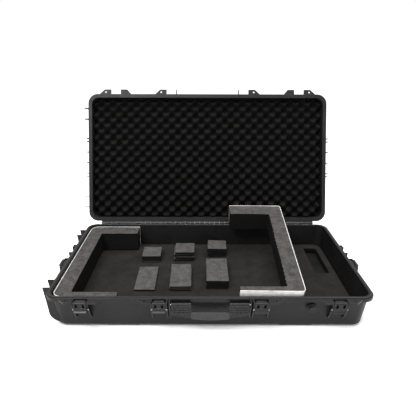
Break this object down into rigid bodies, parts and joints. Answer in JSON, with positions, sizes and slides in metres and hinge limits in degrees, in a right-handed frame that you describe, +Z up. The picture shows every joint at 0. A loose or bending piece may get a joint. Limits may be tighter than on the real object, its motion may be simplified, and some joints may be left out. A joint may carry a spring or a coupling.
{
  "type": "hard_transport_case",
  "caption": "Open black wheeled hard case for a fixed-wing drone, with egg-crate lid foam, C-shaped foam frames and loose pads on its foam floor",
  "frame": {"origin": "centre of the tray's underside, on the plane of the skids", "axes": "+X right along the longest extent, +Y to the hinge side, +Z up"},
  "size_m": [1.2, 0.9135, 0.7454],
  "materials": {
    "case_black_plastic": "matte",
    "latch_plastic": "satin",
    "seal_rubber": "matte",
    "grip_rubber": "matte",
    "pin_steel": "satin",
    "lid_foam_black": "matte",
    "frame_foam_grey": "matte",
    "pad_foam_dark": "matte",
    "wheel_tyre": "satin"
  },
  "bodies": {
    "base": {"base_shell": "case_black_plastic", "gasket": "seal_rubber", "hinge_leaf_base": "case_black_plastic", "hinge_pin": "pin_steel", "latch_pins": "pin_steel", "handle_pins": "pin_steel", "pull_pins": "pin_steel", "valve_body": "case_black_plastic", "wheel_axles": "pin_steel", "floor_foam": "pad_foam_dark"},
    "lid": {"lid_shell": "case_black_plastic", "hinge_leaf_lid": "case_black_plastic", "lid_foam": "lid_foam_black"},
    "latch_1": {"latch_lever_1": "latch_plastic", "latch_hook_1": "latch_plastic"},
    "latch_2": {"latch_lever_2": "latch_plastic", "latch_hook_2": "latch_plastic"},
    "latch_3": {"latch_lever_3": "latch_plastic", "latch_hook_3": "latch_plastic"},
    "latch_4": {"latch_lever_4": "latch_plastic", "latch_hook_4": "latch_plastic"},
    "latch_5": {"latch_lever_5": "latch_plastic", "latch_hook_5": "latch_plastic"},
    "latch_6": {"latch_lever_6": "latch_plastic", "latch_hook_6": "latch_plastic"},
    "handle": {"carry_handle": "case_black_plastic", "handle_grip": "grip_rubber"},
    "end_handle": {"pull_handle": "case_black_plastic", "pull_grip": "grip_rubber"},
    "knob": {"valve_knob": "latch_plastic"},
    "wheel_1": {"wheel_tyre_1": "wheel_tyre", "wheel_hub_1": "latch_plastic"},
    "wheel_2": {"wheel_tyre_2": "wheel_tyre", "wheel_hub_2": "latch_plastic"},
    "frame_left": {"foam_frame_left": "frame_foam_grey"},
    "frame_right": {"foam_frame_right": "frame_foam_grey"},
    "pads_1": {"pad_stack_1": "pad_foam_dark"},
    "pads_2": {"pad_stack_2": "pad_foam_dark"},
    "pads_3": {"pad_stack_3": "pad_foam_dark"},
    "pads_4": {"pad_stack_4": "pad_foam_dark"},
    "pads_5": {"pad_stack_5": "pad_foam_dark"},
    "pads_6": {"pad_stack_6": "pad_foam_dark"}
  },
  "joints": [
    {"name": "lid_hinge", "type": "hinge", "parent": "base", "child": "lid", "pos_m": [0, 0.3175, 0.138], "axis": [1, 0, 0], "range_deg": [0, 110.3]},
    {"name": "latch_1_hinge", "type": "hinge", "parent": "base", "child": "latch_1", "pos_m": [-0.4445, -0.3195, 0.1], "axis": [1, 0, 0], "range_deg": [0, 85]},
    {"name": "latch_2_hinge", "type": "hinge", "parent": "base", "child": "latch_2", "pos_m": [-0.1755, -0.3195, 0.1], "axis": [1, 0, 0], "range_deg": [0, 85]},
    {"name": "latch_3_hinge", "type": "hinge", "parent": "base", "child": "latch_3", "pos_m": [0.1755, -0.3195, 0.1], "axis": [1, 0, 0], "range_deg": [0, 85]},
    {"name": "latch_4_hinge", "type": "hinge", "parent": "base", "child": "latch_4", "pos_m": [0.4445, -0.3195, 0.1], "axis": [1, 0, 0], "range_deg": [0, 85]},
    {"name": "latch_5_hinge", "type": "hinge", "parent": "base", "child": "latch_5", "pos_m": [-0.586, -0.054, 0.1], "axis": [0, -1, 0], "range_deg": [0, 85]},
    {"name": "latch_6_hinge", "type": "hinge", "parent": "base", "child": "latch_6", "pos_m": [0.586, -0.054, 0.1], "axis": [0, 1, 0], "range_deg": [0, 85]},
    {"name": "handle_hinge", "type": "hinge", "parent": "base", "child": "handle", "pos_m": [0, -0.3225, 0.122], "axis": [-1, 0, 0], "range_deg": [0, 88]},
    {"name": "end_handle_hinge", "type": "hinge", "parent": "base", "child": "end_handle", "pos_m": [0.569, 0, 0.058], "axis": [0, -1, 0], "range_deg": [0, 88]},
    {"name": "knob_turn", "type": "hinge", "parent": "base", "child": "knob", "pos_m": [0.355, -0.3025, 0.092], "axis": [0, -1, 0], "continuous": true},
    {"name": "wheel_1_spin", "type": "hinge", "parent": "base", "child": "wheel_1", "pos_m": [-0.565, -0.214, 0.044], "axis": [0, 1, 0], "continuous": true},
    {"name": "wheel_2_spin", "type": "hinge", "parent": "base", "child": "wheel_2", "pos_m": [-0.565, 0.214, 0.044], "axis": [0, 1, 0], "continuous": true},
    {"name": "frame_left_lift", "type": "slide", "parent": "base", "child": "frame_left", "axis": [0, 0, -1], "range_m": [-0.12, 0]},
    {"name": "frame_right_tilt", "type": "hinge", "parent": "base", "child": "frame_right", "pos_m": [0.223, -0.4578, 0.1127], "axis": [-1, 0, 0], "range_deg": [0, 9]},
    {"name": "pads_1_lift", "type": "slide", "parent": "base", "child": "pads_1", "axis": [0, 0, -1], "range_m": [-0.12, 0]},
    {"name": "pads_2_lift", "type": "slide", "parent": "base", "child": "pads_2", "axis": [0, 0, -1], "range_m": [-0.12, 0]},
    {"name": "pads_3_lift", "type": "slide", "parent": "base", "child": "pads_3", "axis": [0, 0, -1], "range_m": [-0.12, 0]},
    {"name": "pads_4_lift", "type": "slide", "parent": "base", "child": "pads_4", "axis": [0, 0, -1], "range_m": [-0.12, 0]},
    {"name": "pads_5_lift", "type": "slide", "parent": "base", "child": "pads_5", "axis": [0, 0, -1], "range_m": [-0.12, 0]},
    {"name": "pads_6_lift", "type": "slide", "parent": "base", "child": "pads_6", "axis": [0, 0, -1], "range_m": [-0.12, 0]}
  ],
  "couplings": [
    {"joint": "frame_right_tilt", "follows": "lid_hinge", "ratio": 0.081596}
  ]
}
